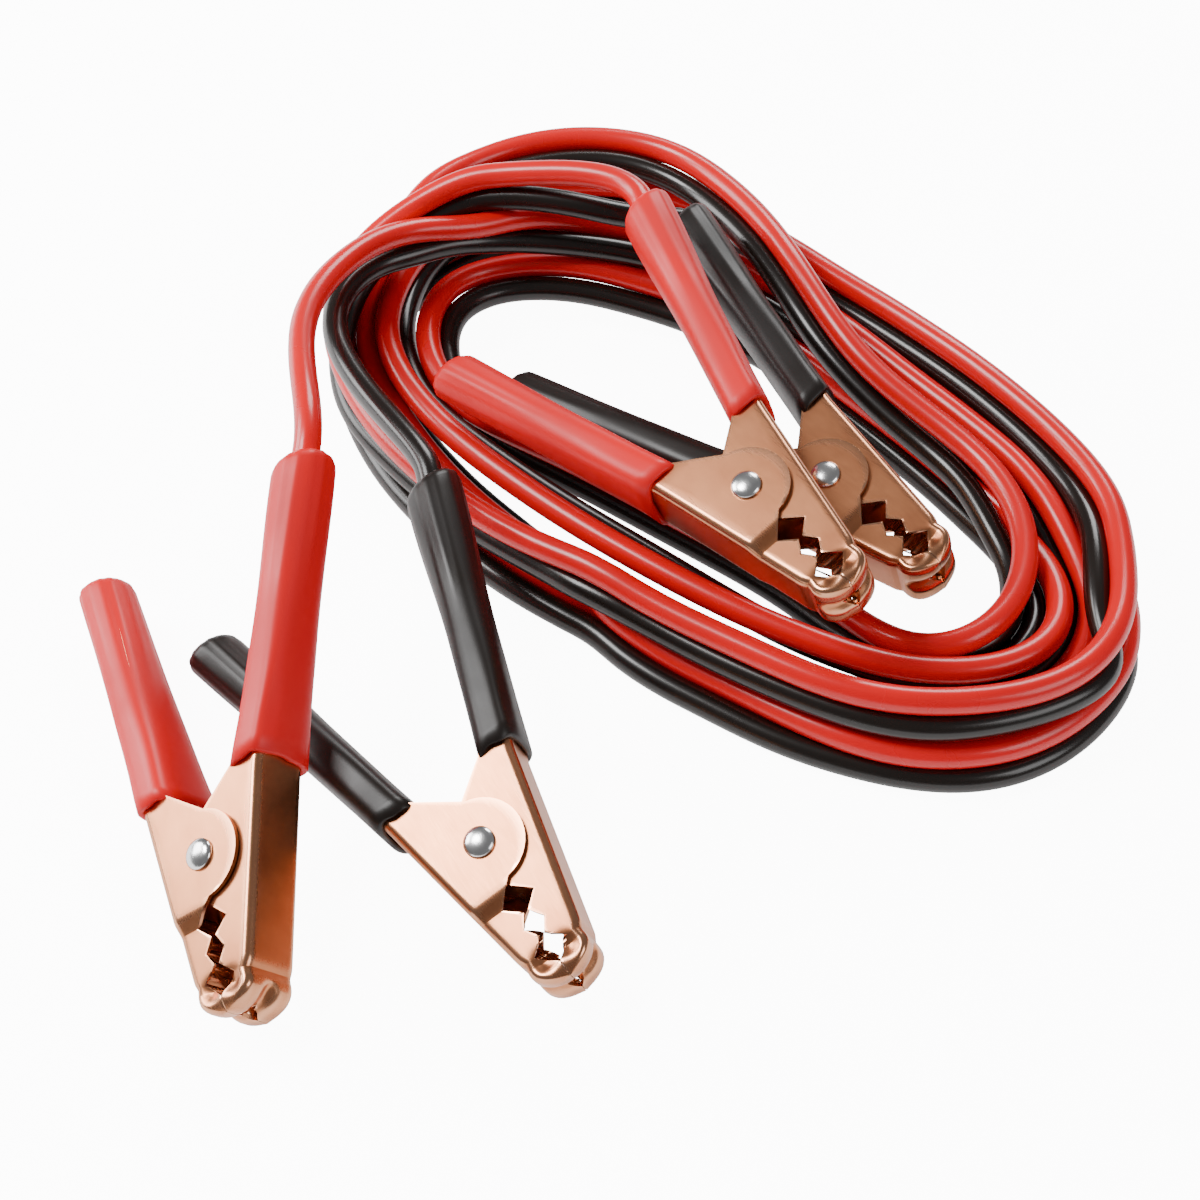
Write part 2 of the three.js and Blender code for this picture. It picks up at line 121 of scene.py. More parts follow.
# The way each conductor runs, from its front clamp round the hank to its back clamp.
RED_ROUTE = [
    (-79, -5.5, 57.7), (-78.7, -0.5, 59.4), (-78.3, 4.5, 61.1), (-79, 13, 62), (-81, 26, 61),
    (-83, 41, 58), (-84, 59, 54), (-81, 77, 50), (-74, 93, 46), (-63, 108, 42), (-31, 124, 35),
    (9, 129, 25), (45, 115, 21), (76, 88, 18), (106, 56, 18), (131, 16, 18), (136, -20, 15),
    (131, -30, 12), (123, -37, 8), (92, -47, 4), (70, -45, 4), (25, -24, 4), (-22, 8, 4),
    (-58, 50, 4), (-75, 100, 4), (-68, 124, 4), (-50, 140, 5), (-25, 150, 6), (-2, 150, 7),
    (42, 130, 9), (66, 109, 9), (88, 88, 9), (110, 60, 9), (130, 33, 10), (144, 5, 11),
    (146, -19, 11), (142, -34, 11), (118, -57, 11), (93, -63, 11), (69, -59, 10), (28, -33, 6),
    (0, -9, 5), (-35, 28, 7), (-58, 59, 9), (-72, 92, 12), (-69, 116, 19), (-53, 140, 26),
    (-42, 154, 28), (-16, 165, 31), (17, 161, 32), (42, 135, 33), (59, 102, 35), (75, 70, 30),
    (101, 42, 25), (112, 28, 24), (118, 11, 23), (118, -4, 22), (112, -20, 21), (102, -30, 20),
    (91, -33, 19), (81, -30, 15), (70, -18, 12.5), (56, -4, 12), (26, 19, 11), (-9, 44, 12), (-40, 63, 14),
    (-49, 76, 15), (-51, 105, 16), (-44, 116, 16), (-19, 123, 16), (19, 114, 15), (55, 94, 13),
    (84, 64, 12), (108, 33, 12), (124, 4, 15), (127, -12, 17), (125, -26, 18), (116, -35, 18),
    (89, -40, 18), (53, -27, 18), (15, -3, 18), (-23, 28, 18), (-52, 60, 18), (-65, 92, 18),
    (-59, 123, 18), (-37, 149, 18), (-22, 157, 18), (6, 158, 18), (35, 148, 18), (59, 125, 19),
    (82, 100, 23), (117, 60, 26), (140, 23, 26), (143, -16, 26), (138, -34, 26), (128, -46, 26),
    (111, -54, 26), (72, -55, 26), (34, -34, 24), (-4, -8, 22), (-40, 20, 20), (-65, 50, 20),
    (-78, 78, 23), (-80, 91, 25), (-78, 101, 28), (-73, 110, 32), (-63, 118, 37), (-50, 124, 42),
    (-37, 127, 47), (-24, 124.5, 51), (-12, 121.5, 54.8), (-1, 117.5, 57), (7, 112.5, 58.5),
    (11.3, 106.8, 58.8), (13.2, 100.9, 58.6), (14.6, 97, 58.2),
]
BLACK_ROUTE = [
    (-45.1, 3.4, 39.5), (-46.5, 8.3, 40.5), (-47.8, 13.3, 41.5), (-53, 20, 41), (-59, 33, 40),
    (-67, 46, 38), (-74, 61, 37), (-78, 74, 35), (-78, 86, 34), (-74, 99, 33), (-65, 109, 32),
    (-36, 121, 30), (-3, 123, 24), (31, 115, 19), (63, 92, 15), (89, 63, 15), (116, 30, 14),
    (132, -3, 12), (131, -17, 10), (125, -28, 8), (115, -36, 5), (70, -37, 4), (25, -15, 4),
    (-20, 16, 4), (-50, 54, 4), (-67, 99, 4), (-61, 118, 4), (-46, 132, 5), (-24, 142, 5),
    (-2, 142, 5), (40, 123, 5), (84, 80, 5), (106, 54, 5), (137, 4, 5), (147, -22, 4),
    (132, -49, 4), (118, -60, 4), (94, -66, 4), (49, -52, 4), (11, -22, 4), (-17, 1, 4),
    (-48, 28, 4), (-71, 67, 5), (-78, 94, 10), (-77, 105, 13), (-64, 127, 20), (-43, 147, 26),
    (-29, 156, 27), (0, 159, 28), (16, 155, 28), (30, 145, 28), (49, 115, 30), (62, 84, 28),
    (84, 54, 20), (107, 30, 15), (114, 14, 14), (115, -18, 13), (106, -29, 13), (90, -32, 12),
    (77, -28, 10), (55, -5, 6), (26, 18, 5), (-9, 43, 5), (-36, 62, 8), (-47, 91, 11),
    (-46, 104, 12), (-39, 113, 12), (-14, 118, 12), (16, 112, 11), (52, 92, 7), (81, 60, 5),
    (104, 31, 5), (120, -2, 9), (120, -16, 11), (111, -30, 12), (96, -37, 11), (74, -32, 11), (55, -24, 11.5),
    (16, 5, 12), (-23, 37, 12), (-51, 68, 12), (-61, 101, 12), (-54, 129, 12), (-45, 141, 12),
    (-18, 156, 12), (13, 156, 12), (44, 136, 13), (77, 100, 18), (110, 64, 20), (132, 28, 20),
    (137, -10, 20), (134, -26, 20), (141, -34, 19), (131, -47, 19), (92, -60, 19), (72, -57, 19),
    (35, -37, 17), (-4, -8, 15), (-40, 20, 13), (-65, 49, 13), (-75, 64, 14), (-78, 91, 17),
    (-76, 101, 20), (-72, 109, 25), (-63, 115, 31), (-51, 121, 36), (-37, 124, 40),
    (-21, 123, 43), (-6, 120, 44), (3, 117, 43), (12, 115, 41), (18.8, 116.9, 39.5),
    (25.4, 120.3, 37.8), (28.1, 114.6, 37.4),
]

CAMERA_ELEVATION = 50
CAMERA_DISTANCE = 700
CAMERA_LENS = 73.5


def pivot(clamp):
    joints = frame["record"]["behaviour"]["joints"]
    return Vector(next(joint["pos_m"] for joint in joints if joint["name"] == f"{clamp}_pivot"))


SHIFT = pivot("back_red") - BACK_RED_PIVOT * MM


def make_camera():
    data = bpy.data.cameras.new("camera")
    data.lens = CAMERA_LENS
    camera = bpy.data.objects.new("camera", data)
    bpy.context.collection.objects.link(camera)
    tilt = math.radians(CAMERA_ELEVATION)
    back = Vector((0, -math.cos(tilt), math.sin(tilt)))
    camera.location = Vector((SHIFT.x, SHIFT.y, 0)) + back * CAMERA_DISTANCE * MM
    camera.rotation_euler = (math.pi / 2 - tilt, 0, 0)
    bpy.context.scene.camera = camera


# Cords


def smooth_route(points, step):
    """Even points on a centripetal spline through the given ones."""
    p = np.array(points, float)
    p = np.vstack([2 * p[0] - p[1], p, 2 * p[-1] - p[-2]])
    t = np.r_[0, np.cumsum(np.sqrt(np.linalg.norm(np.diff(p, axis=0), axis=1)))]
    pieces = []
    for i in range(1, len(p) - 2):
        u = np.linspace(t[i], t[i + 1], 12, endpoint=False)[:, None]

        def between(low, high, a, b):
            return (t[high] - u) / (t[high] - t[low]) * a + (u - t[low]) / (t[high] - t[low]) * b

        a1 = between(i - 1, i, p[i - 1], p[i])
        a2 = between(i, i + 1, p[i], p[i + 1])
        a3 = between(i + 1, i + 2, p[i + 1], p[i + 2])
        b1 = between(i - 1, i + 1, a1, a2)
        b2 = between(i, i + 2, a2, a3)
        pieces.append(between(i, i + 1, b1, b2))
    p = np.vstack(pieces + [p[-2][None]])
    along = np.r_[0, np.cumsum(np.linalg.norm(np.diff(p, axis=0), axis=1))]
    even = np.linspace(0, along[-1], int(round(along[-1] / step)) + 1)
    return np.stack([np.interp(even, along, p[:, k]) for k in range(3)], 1)


def settle(routes, rounds=240, step=5.0, gap=0.05, ends=3):
    """The conductors pushed apart wherever they meet, off the floor, and stiff enough to stay smooth."""
    parts = [smooth_route(route, step) for route in routes]
    home = np.vstack(parts)
    p = home.copy()
    owner = np.repeat(range(len(parts)), [len(part) for part in parts])
    fixed = np.zeros(len(p), bool)
    first = 0
    for part in parts:
        fixed[first : first + ends] = True
        first += len(part)
        fixed[first - ends : first] = True
    inner = np.zeros(len(p), bool)
    inner[1:-1] = owner[:-2] == owner[2:]
    free = inner & ~fixed
    one, two = np.triu_indices(len(p), 1)
    apart = (owner[one] != owner[two]) | (two - one > 5)
    one, two = one[apart], two[apart]
    for turn in range(rounds):
        if turn % 10 == 0:
            near = np.linalg.norm(p[one] - p[two], axis=1) < CABLE + 12
            a, b = one[near], two[near]
        reach = p[b] - p[a]
        length = np.linalg.norm(reach, axis=1)
        hit = length < CABLE + gap
        push = reach[hit] * ((CABLE + gap - length[hit]) / 2 / length[hit])[:, None]
        move = np.zeros_like(p)
        count = np.zeros(len(p))
        np.add.at(move, a[hit], -push)
        np.add.at(move, b[hit], push)
        np.add.at(count, a[hit], 1)
        np.add.at(count, b[hit], 1)
        move *= 1.3 / np.maximum(count, 1)[:, None]
        p[~fixed] += move[~fixed]
        bend = np.zeros_like(p)
        bend[1:-1] = (p[:-2] + p[2:]) / 2 - p[1:-1]
        stiff = np.zeros_like(p)
        stiff[1:-1] = bend[1:-1] - (bend[:-2] + bend[2:]) / 2
        if turn < rounds - 30:
            p[free] += 0.35 * stiff[free] + 0.01 * (home - p)[free]
        p[:, 2] = np.maximum(p[:, 2], CABLE / 2 + 0.02)
    return [p[owner == k] for k in range(len(parts))]


def make_cord(name, points, material, nodes):
    line = [Vector(point) * MM + SHIFT for point in smooth_route(points, 2.5)]
    data = bpy.data.curves.new(name, "CURVE")
    data.dimensions = "3D"
    data.bevel_depth = CABLE / 2 * MM
    data.bevel_resolution = 7
    data.use_fill_caps = True
    spline = data.splines.new("POLY")
    spline.points.add(len(line) - 1)
    for point, place in zip(spline.points, line):
        point.co = (*place, 1)
    spline.use_smooth = True
    cord = bpy.data.objects.new(name, data)
    bpy.context.collection.objects.link(cord)
    data.materials.append(material)
    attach(cord, "cable_set")
    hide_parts(*nodes)
    return cord


# Materials


def node_group(name, inputs, build):
    """A surface effect: what build makes of its inputs, as a colour, a roughness and a height."""
    group = bpy.data.node_groups.new(name, "ShaderNodeTree")
    for label, kind, value in inputs:
        socket = group.interface.new_socket(name=label, in_out="INPUT", socket_type=kind)
        socket.default_value = value
    for label, kind in (("Colour", "Color"), ("Roughness", "Float"), ("Height", "Float")):
        group.interface.new_socket(name=label, in_out="OUTPUT", socket_type=f"NodeSocket{kind}")
    nodes, links = group.nodes, group.links
    enter, leave = nodes.new("NodeGroupInput"), nodes.new("NodeGroupOutput")
    build(nodes, links, enter, leave)
    return group


def math_node(nodes, links, operation, first, second):
    node = nodes.new("ShaderNodeMath")
    node.operation = operation
    for socket, value in zip(node.inputs, (first, second)):
        if isinstance(value, (int, float)):
            socket.default_value = value
        else:
            links.new(value, socket)
    return node.outputs[0]


def noise(nodes, links, coordinate, scale, detail, stretch=(1, 1, 1)):
    mapping = nodes.new("ShaderNodeMapping")
    mapping.inputs["Scale"].default_value = stretch
    links.new(coordinate, mapping.inputs["Vector"])
    node = nodes.new("ShaderNodeTexNoise")
    node.inputs["Scale"].default_value = scale
    node.inputs["Detail"].default_value = detail
    links.new(mapping.outputs[0], node.inputs["Vector"])
    return node.outputs["Fac"]


def ramp(nodes, links, value, low, high, to_low, to_high):
    node = nodes.new("ShaderNodeMapRange")
    for label, number in (("From Min", low), ("From Max", high), ("To Min", to_low), ("To Max", to_high)):
        node.inputs[label].default_value = number
    links.new(value, node.inputs["Value"])
    return node.outputs["Result"]


def mix_colour(nodes, links, factor, first, second):
    node = nodes.new("ShaderNodeMix")
    node.data_type = "RGBA"
    links.new(factor, node.inputs["Factor"])
    for socket, value in ((node.inputs["A"], first), (node.inputs["B"], second)):
        if isinstance(value, tuple):
            socket.default_value = value
        else:
            links.new(value, socket)
    return node.outputs["Result"]


def plated_group():
    """Stamped sheet with a satin copper plating: fine brushing, dull spots, and a painted highlight in a
    brighter colour on its folds.
    """

    def build(nodes, links, enter, leave):
        place = nodes.new("ShaderNodeTexCoord").outputs["Object"]
        brushed = noise(nodes, links, place, 3500, 2, (0.06, 1, 1))
        blotch = noise(nodes, links, place, 60, 5)
        geometry = nodes.new("ShaderNodeNewGeometry")
        # Folds and sharp rims, found by pointiness: the fold highlight colour is mixed in there as a painted
        # highlight.
        edge = ramp(nodes, links, geometry.outputs["Pointiness"], 0.505, 0.56, 0, 1)
        tone = ramp(nodes, links, blotch, 0.35, 0.7, 0, 1)
        body = mix_colour(nodes, links, tone, enter.outputs["Base"], enter.outputs["Dull"])
        links.new(mix_colour(nodes, links, edge, body, enter.outputs["Bright"]), leave.inputs["Colour"])
        uneven = ramp(nodes, links, brushed, 0.3, 0.7, 0.92, 1.08)
        rough = math_node(nodes, links, "MULTIPLY", uneven, enter.outputs["Rough"])
        polish = ramp(nodes, links, geometry.outputs["Pointiness"], 0.505, 0.55, 1, 0.45)
        links.new(math_node(nodes, links, "MULTIPLY", rough, polish), leave.inputs["Roughness"])
        soft = math_node(nodes, links, "MULTIPLY", blotch, 0.6)
        links.new(math_node(nodes, links, "ADD", soft, brushed), leave.inputs["Height"])

    return node_group(
        "plated sheet",
        (
            ("Base", "NodeSocketColor", (0.62, 0.25, 0.12, 1)),
            ("Dull", "NodeSocketColor", (0.50, 0.19, 0.09, 1)),
            # A brighter copper, the painted highlight on the folds.
            ("Bright", "NodeSocketColor", (0.95, 0.52, 0.32, 1)),
            ("Rough", "NodeSocketFloat", 0.3),
        ),
        build,
    )


def vinyl_group():
    """Soft moulded plastic: slight mottling in colour and sheen, and a faint grain."""

    def build(nodes, links, enter, leave):
        place = nodes.new("ShaderNodeTexCoord").outputs["Object"]
        wide = noise(nodes, links, place, 35, 4)
        grain = noise(nodes, links, place, 1400, 2)
        tone = ramp(nodes, links, wide, 0.3, 0.75, 0, 1)
        body = mix_colour(nodes, links, tone, enter.outputs["Base"], enter.outputs["Deep"])
        links.new(body, leave.inputs["Colour"])
        uneven = ramp(nodes, links, wide, 0.3, 0.7, 0.85, 1.2)
        rough = math_node(nodes, links, "MULTIPLY", uneven, enter.outputs["Rough"])
        links.new(rough, leave.inputs["Roughness"])
        fine = math_node(nodes, links, "MULTIPLY", grain, 0.2)
        links.new(math_node(nodes, links, "ADD", fine, wide), leave.inputs["Height"])

    return node_group(
        "soft plastic",
        (
            ("Base", "NodeSocketColor", (0.8, 0.02, 0.03, 1)),
            ("Deep", "NodeSocketColor", (0.6, 0.01, 0.015, 1)),
            ("Rough", "NodeSocketFloat", 0.4),
        ),
        build,
    )


def grouped_material(name, group, values, shader, bump):
    material = bpy.data.materials.new(name)
    material.use_nodes = True
    nodes, links = material.node_tree.nodes, material.node_tree.links
    principled = nodes["Principled BSDF"]
    for label, value in shader.items():
        principled.inputs[label].default_value = value
    node = nodes.new("ShaderNodeGroup")
    node.node_tree = group
    for label, value in values.items():
        node.inputs[label].default_value = value
    links.new(node.outputs["Colour"], principled.inputs["Base Color"])
    links.new(node.outputs["Roughness"], principled.inputs["Roughness"])
    if bump:
        relief = nodes.new("ShaderNodeBump")
        relief.inputs["Strength"].default_value = bump
        relief.inputs["Distance"].default_value = 0.0002
        links.new(node.outputs["Height"], relief.inputs["Height"])
        links.new(relief.outputs[0], principled.inputs["Normal"])
    return material


def make_materials():
    plated, vinyl = plated_group(), vinyl_group()
    metal = {"Metallic": 1.0}
    plastic = {"Specular IOR Level": 0.4}
    glossy = {**plastic, "Coat Weight": 0.25, "Coat Roughness": 0.2}
    red = {"Base": (0.80, 0.002, 0.006, 1), "Deep": (0.68, 0.001, 0.004, 1)}
    black = {"Base": (0.011, 0.0065, 0.0045, 1), "Deep": (0.007, 0.004, 0.003, 1)}
    # The last colour of each steel finish is the painted highlight mixed in on the folds.
    bare_steel = {
        "Base": (0.78, 0.78, 0.78, 1), "Dull": (0.62, 0.62, 0.63, 1), "Bright": (0.95, 0.95, 0.95, 1),
    }
    dark_steel = {
        "Base": (0.35, 0.34, 0.33, 1), "Dull": (0.25, 0.24, 0.23, 1), "Bright": (0.5, 0.5, 0.5, 1),
    }
    made = {}
    for name, label, group, values, rough, shader, bump in (
        ("copper", "copper plating", plated, {}, 0.3, metal, 0.02),
        ("rivet", "rivet steel", plated, bare_steel, 0.22, metal, 0.08),
        ("spring", "spring steel", plated, dark_steel, 0.35, metal, 0),
        ("red_grip", "red grip", vinyl, red, 0.42, plastic, 0.25),
        ("black_grip", "black grip", vinyl, black, 0.38, plastic, 0.25),
        ("red_cable", "red cable", vinyl, red, 0.27, glossy, 0.1),
        ("black_cable", "black cable", vinyl, black, 0.26, glossy, 0.1),
    ):
        made[name] = grouped_material(label, group, {**values, "Rough": rough}, shader, bump)
    return made


# Clamps, in millimetres in their own frame


def new_mesh(name, rings, closed_ring, caps=False):
    """A grid of points, one ring after another, as a mesh."""
    bm = bmesh.new()
    rows = [[bm.verts.new(point) for point in ring] for ring in rings]
    count = len(rows[0])
    for low, high in zip(rows, rows[1:]):
        for i in range(count if closed_ring else count - 1):
            j = (i + 1) % count
            bm.faces.new((low[i], low[j], high[j], high[i]))
    if caps:
        bm.faces.new(rows[0][::-1])
        bm.faces.new(rows[-1])
    bmesh.ops.remove_doubles(bm, verts=bm.verts, dist=1e-4)
    bmesh.ops.recalc_face_normals(bm, faces=bm.faces)
    for face in bm.faces:
        face.smooth = True
    mesh = bpy.data.meshes.new(name)
    bm.to_mesh(mesh)
    bm.free()
    return mesh


def handle_axis(jaw, x):
    """Middle, depth and half width of a handle's channel, x back from the pivot."""
    root = jaw["heel"] - HANDLE_ROOT_DEPTH / 2
    share = (x - HEEL_X) / (HANDLE_REACH - HEEL_X)
    return (
        root + (jaw["handle"] - root) * share,
        HANDLE_ROOT_DEPTH + (HANDLE_END - HANDLE_ROOT_DEPTH) * share,
        jaw["rear"] + (HANDLE_END / 2 - jaw["rear"]) * share,
    )


def ease(value):
    """0 up to 0, 1 from 1 on, and a smooth rise between."""
    value = min(max(value, 0), 1)
    return value * value * (3 - 2 * value)


def hill(value):
    """1 at 0, falling smoothly on both sides."""
    return math.exp(-(value**2))


def web_height(jaw, x):
    slope = (jaw["heel"] - NOSE_HALF_DEPTH) / (HEEL_X + NOSE_REACH - NOSE_ROUND)
    if x >= -HEEL_X:
        flat = NOSE_HALF_DEPTH + slope * max(NOSE_REACH - NOSE_ROUND - x, 0)
        nose = max(x - (NOSE_REACH - NOSE_ROUND), 0) / NOSE_ROUND
        drop = 1 - math.sqrt(max(1 - nose**2, 0))
        return flat - (flat - jaw["parting"]) * drop
    middle, depth, _ = handle_axis(jaw, -x)
    return middle + depth / 2


def jaw_half_width(jaw, x):
    if x <= -HEEL_X:
        return handle_axis(jaw, -x)[2]
    step = ease((TOOTH_START + EAR_STEP - x) / EAR_STEP)
    nose = max(x - (NOSE_REACH - NOSE_TAPER_LENGTH), 0) / NOSE_TAPER_LENGTH
    return JAW_HALF + (jaw["rear"] - JAW_HALF) * step - NOSE_TAPER * nose**2


def tooth_corners(jaw):
    corners = []
    for i, depth in enumerate(NOTCH_DEPTHS):
        middle = TOOTH_START + NOTCH_HALF + i * TOOTH_PITCH
        last = i == len(NOTCH_DEPTHS) - 1
        corners.append((middle, jaw["parting"] + depth))
        width, drop = (NOTCH_HALF, 0) if last else (TOOTH_PITCH / 2, TIP_DROP)
        corners.append((middle + width, jaw["parting"] + drop))
    return [(TOOTH_START, jaw["parting"])] + corners + [(NOSE_REACH, jaw["parting"])]


def side_edge(jaw, x):
    """The lower edge of a side plate at x: teeth, ear, then the handle's open side."""
    if x >= TOOTH_START:
        xs, ys = zip(*tooth_corners(jaw))
        return float(np.interp(x, xs, ys))
    heel_edge = handle_axis(jaw, HEEL_X + 4)
    low = heel_edge[0] - heel_edge[1] / 2
    ear = jaw["ear"]
    if x > -ear * 0.97:
        if x > ear * 0.995:
            return float(np.interp(x, (ear * 0.995, TOOTH_START), (-ear * 0.1, jaw["parting"])))
        return -math.sqrt(max(ear**2 - x**2, 0))
    if x > -HEEL_X - 4:
        return float(np.interp(x, (-HEEL_X - 4, -ear * 0.97), (low, -ear * 0.24)))
    middle, depth, _ = handle_axis(jaw, -x)
    return middle - depth / 2


def jaw_columns(jaw):
    xs = set(np.linspace(-HANDLE_REACH, -HEEL_X - 4, 12)) | set(np.linspace(-HEEL_X - 4, -jaw["ear"], 8))
    xs |= {jaw["ear"] * -math.cos(math.radians(a)) for a in range(14, 175, 8)}
    xs |= {x for x, _ in tooth_corners(jaw)}
    xs |= set(np.arange(TOOTH_START, NOSE_REACH - NOSE_ROUND, 0.95))
    xs |= {NOSE_REACH - NOSE_ROUND + NOSE_ROUND * math.sin(math.radians(a)) for a in range(0, 91, 9)}
    ordered = sorted(xs)
    return [x for i, x in enumerate(ordered) if i == 0 or x - ordered[i - 1] > 0.02]


def nose_relief(x, y, z):
    """The pinched lobes, the valley between them and the dimples beside them, as a move inwards."""
    valley = VALLEY_DEPTH * ease((x - (NOSE_REACH - NOSE_LENGTH)) / 5) * hill(z / VALLEY_HALF)
    side = hill((x - NOSE_REACH + 6.5) / 2.2) * hill((y - 3.4) / 2.4)
    pinch = PINCH_DEPTH * side * ease((abs(z) - 5) / 3)
    neck = NECK_DEPTH * hill((x - NOSE_REACH + 8.5) / 1.3) * ease((y - 5.5) / 2)
    return valley, pinch, neck


def make_jaw(jaw):
    """A pressed channel: side plates, folds and web, closed at the nose."""
    rings = []
    for x in jaw_columns(jaw):
        web, half, edge = web_height(jaw, x), jaw_half_width(jaw, x), side_edge(jaw, x)
        edge = min(edge, web)
        fold = min(FOLD_RADIUS, max(web - edge, 0.0), half)
        section = [(edge + (web - fold - edge) * k / 8, half) for k in range(9)]
        for k in range(1, 7):
            turn = math.pi / 2 * k / 6
            section.append((web - fold * (1 - math.sin(turn)), half - fold * (1 - math.cos(turn))))
        top = half - fold
        across = [top * (1 - k / 8) for k in range(1, 9)]
        section += [(web, z) for z in across]
        ring = []
        for y, z in section + [(y, -z) for y, z in section[-2::-1]]:
            valley, pinch, neck = nose_relief(x, y, z)
            hole = NOSE_HOLE - abs(z) - (y - jaw["parting"]) if x > NOSE_REACH - 3 else 0
            lift = max(hole, 0)
            place = Vector((x - valley, y + lift - neck, z - math.copysign(pinch, z) if z else z))
            if x > NOSE_REACH - NOSE_LENGTH:
                place.y -= valley * 0.35 * ease((y - 4) / 4)
            if x > NOSE_REACH - 5:
                place.y = max(place.y, jaw["parting"])
            ring.append(place)
        rings.append(ring)
    mesh = new_mesh(f"{jaw['name']}_jaw", rings, False)
    face_outward(mesh)
    if jaw["side"] < 0:
        mesh.transform(Matrix.Rotation(math.pi, 4, "X"))
    return mesh


def face_outward(mesh):
    """The faces of an open sheet turned so that most of them look away from the pivot."""
    bm = bmesh.new()
    bm.from_mesh(mesh)
    outward = sum(face.normal.dot(face.calc_center_median().normalized()) > 0 for face in bm.faces)
    if outward < len(bm.faces) / 2:
        bmesh.ops.reverse_faces(bm, faces=bm.faces)
    bm.to_mesh(mesh)
    bm.free()


def sheet_modifiers(obj):
    solid = obj.modifiers.new("sheet", "SOLIDIFY")
    solid.thickness = SHEET * MM
    solid.offset = -1
    solid.use_even_offset = True
    solid.thickness_clamp = 0.6
    edge = obj.modifiers.new("rounded edges", "BEVEL")
    edge.width = 0.22 * MM
    edge.segments = 2
    edge.limit_method = "ANGLE"
    edge.angle_limit = math.radians(50)
    normals = obj.modifiers.new("even shading", "WEIGHTED_NORMAL")
    normals.keep_sharp = True


def grip_point(jaw, x, turn, wall, seed):
    """A point on a sleeve: a rounded oblong at the rim that turns round towards its end."""
    middle, depth, half = handle_axis(jaw, x)
    share = (x - HEEL_X) / (HANDLE_REACH - HEEL_X)
    power = 3.6 - 1.5 * ease(share * 1.15)
    c, s = math.cos(turn), math.sin(turn)
    radius = (abs(c) ** power + abs(s) ** power) ** (-1 / power)
    wave = 0.6 + 0.4 * math.sin(turn * 5 + seed)
    ridges = RIDGE_HEIGHT * math.sin(turn * RIDGE_COUNT + seed) * ease((share - 0.45) / 0.4) * wave
    crease = -CREASE_DEPTH * hill((x - 30) / 9) * hill(math.sin((turn - 0.9) / 2) / 0.12)
    wall += jaw["flare"] * ease((share - 0.45) / 0.5)
    deep, wide = depth / 2 + wall + ridges + crease, half + wall + ridges + crease
    squeeze = 1 - 0.05 * hill((x - 38) / 12) * abs(c)
    return Vector((-x, middle + s * radius * deep, c * radius * wide * squeeze))


def make_grip(jaw, seed):
    """A soft sleeve: a wavy flared rim round the channel, a rounded end, and a hole for the cable."""
    sides = 64
    end = HANDLE_REACH + GRIP_OVERHANG
    turns = [2 * math.pi * k / sides for k in range(sides)]
    wall = GRIP_WALL + RUNNING_GAP
    rim = [RIM_WAVE * math.sin(2 * t + seed) + RIM_RIPPLE * math.sin(5 * t + 2 * seed) for t in turns]

    def ring(x, wall, rims=None):
        starts = [x + max(r, 0) for r in rim] if rims else [x] * sides
        return [grip_point(jaw, start, t, wall, seed) for t, start in zip(turns, starts)]

    rings = [
        ring(GRIP_START + 12, RUNNING_GAP * 0.6),
        ring(GRIP_START + 0.5, RUNNING_GAP, True),
        ring(GRIP_START + 0.1, RUNNING_GAP + 0.5 * GRIP_WALL, True),
        ring(GRIP_START + 0.5, wall, True),
    ]
    stations = 26
    for k in range(1, stations + 1):
        x = GRIP_START + 2 + (end - END_ROUND - GRIP_START - 2) * k / stations
        rings.append(ring(x, wall - WALL_TAPER * ease(k / 4)))
    for k in range(1, 6):
        angle = math.pi / 2 * k / 5
        inward = END_ROUND * (1 - math.cos(angle))
        rings.append(ring(end - END_ROUND + END_ROUND * math.sin(angle), wall - WALL_TAPER - inward))
    middle = handle_axis(jaw, end)[0]

    def circle(x, radius):
        return [Vector((-x, middle + radius * math.sin(t), radius * math.cos(t))) for t in turns]

    if jaw["side"] > 0:
        hole = circle(end, CABLE_BORE)
        rings += [hole, [point + Vector((6, -2, 0)) for point in hole]]
    else:
        rings.append(circle(end + 0.3, 2.5))
    mesh = new_mesh(f"{jaw['name']}_grip", rings, True, caps=jaw["side"] < 0)
    if jaw["side"] < 0:
        mesh.transform(Matrix.Rotation(math.pi, 4, "X"))
    return mesh


def make_rivet():
    seat = JAW_HALF + SHEET + RUNNING_GAP * 1.5
    profile = []
    for k in range(11):
        angle = math.radians(90 - 90 * k / 10)
        height = RIVET_RIM + (RIVET_HEAD_HEIGHT - RIVET_RIM) * math.sin(angle)
        profile.append((RIVET_HEAD_RADIUS * math.cos(angle), seat + height))
    profile += [(RIVET_HEAD_RADIUS, seat), (RIVET_RADIUS, seat)]
    profile += [(radius, -height) for radius, height in reversed(profile)]
    sides = 48
    turns = [2 * math.pi * k / sides for k in range(sides)]
    rings = [[Vector((r * math.cos(t), r * math.sin(t), h)) for t in turns] for r, h in profile]
    return new_mesh("rivet", rings, True)


